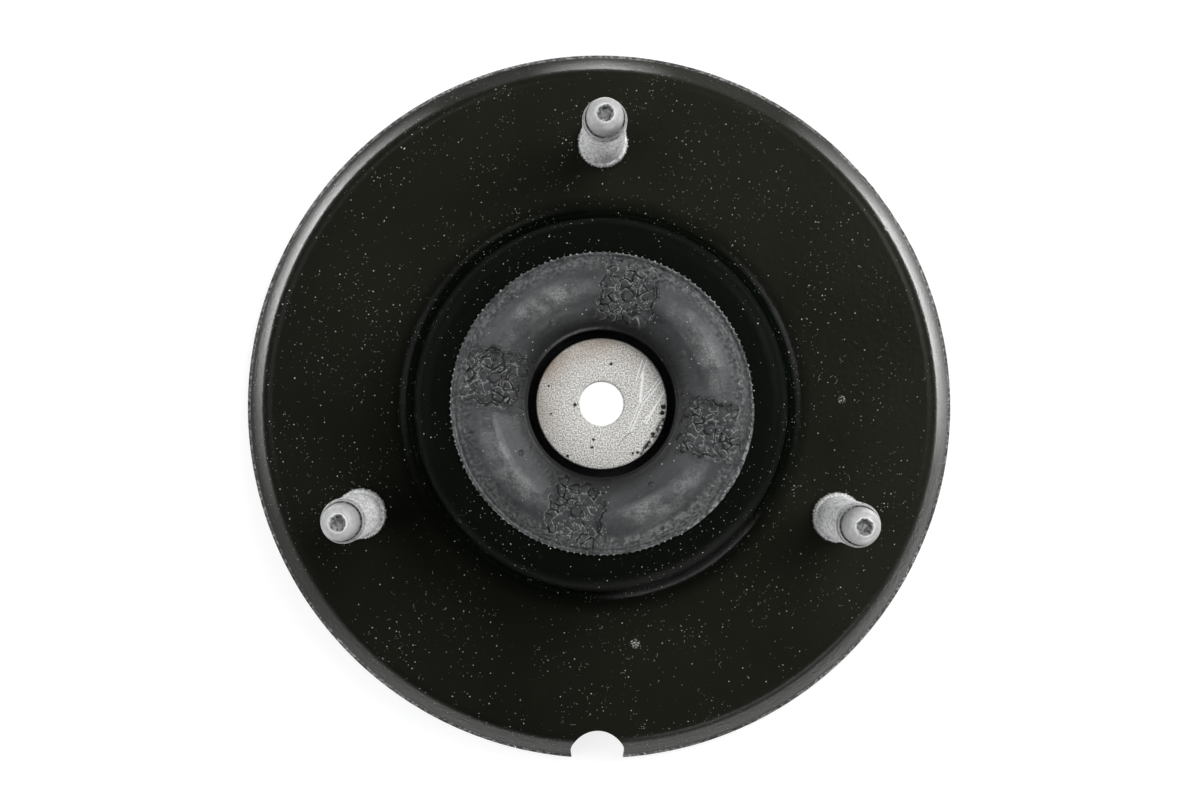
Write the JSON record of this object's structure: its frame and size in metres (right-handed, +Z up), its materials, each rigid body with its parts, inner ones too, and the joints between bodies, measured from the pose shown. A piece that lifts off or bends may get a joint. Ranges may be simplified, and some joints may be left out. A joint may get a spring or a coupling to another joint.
{
  "type": "strut mount",
  "caption": "Round pressed-steel upper strut mount with a turned-down notched rim, threaded studs, a raised crown and a moulded rubber bush that carries the steel hub of the damper rod.",
  "frame": {"origin": "centre of the ring that the rim rests on, on the rod's axis", "axes": "+Z up along the damper rod, through the studs; +Y towards the stud that stands alone, opposite the notch"},
  "size_m": [0.172, 0.1718, 0.044],
  "materials": {
    "black_paint": "gloss black paint",
    "black_coat": "satin black dip coat",
    "rubber": "satin moulded rubber",
    "bare_steel": "blasted bare steel",
    "zinc_steel": "dull zinc plate"
  },
  "bodies": {
    "root": {"mounting_plate": "black_paint", "retainer_dish": "black_coat", "rubber_bush": "rubber", "hub_insert": "bare_steel", "mounting_studs": "zinc_steel"}
  },
  "joints": []
}
